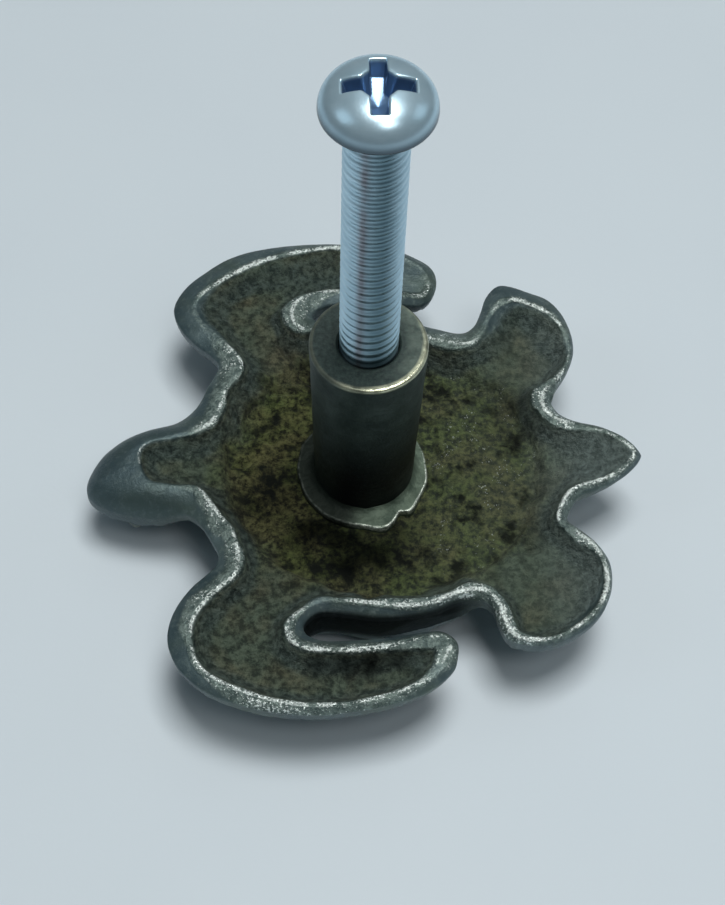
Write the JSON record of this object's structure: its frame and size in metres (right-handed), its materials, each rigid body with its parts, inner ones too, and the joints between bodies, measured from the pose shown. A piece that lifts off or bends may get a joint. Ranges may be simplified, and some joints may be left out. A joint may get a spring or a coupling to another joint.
{
  "type": "drawer knob",
  "caption": "Cast sea-turtle drawer knob with a hollow back, a turned and tapped post brazed inside it, and a cross-recessed pan-head screw started in the post.",
  "frame": {"origin": "centre of the post's flat free end, the face that seats on a drawer front", "axes": "+Z along the post's axis from the casting towards the screw's head, +X towards the turtle's tail, +Y towards its far side"},
  "size_m": [0.04, 0.0398, 0.0442],
  "materials": {
    "cast_brass": "rough cast, dark aged patina, bright filed rim",
    "braze_metal": "dull green-grey filler metal with a bright edge",
    "turned_brass": "turned, dark patina, bright worn edge",
    "zinc_plated_steel": "bright blue-white zinc plate"
  },
  "bodies": {
    "knob": {"turtle_casting": "cast_brass", "braze_collar": "braze_metal", "threaded_post": "turned_brass"},
    "screw": {"mounting_screw": "zinc_plated_steel"}
  },
  "joints": [
    {"name": "screw_travel", "type": "slide", "parent": "knob", "child": "screw", "axis": [0, 0, 1], "range_m": [-0.01, 0.0034]}
  ]
}
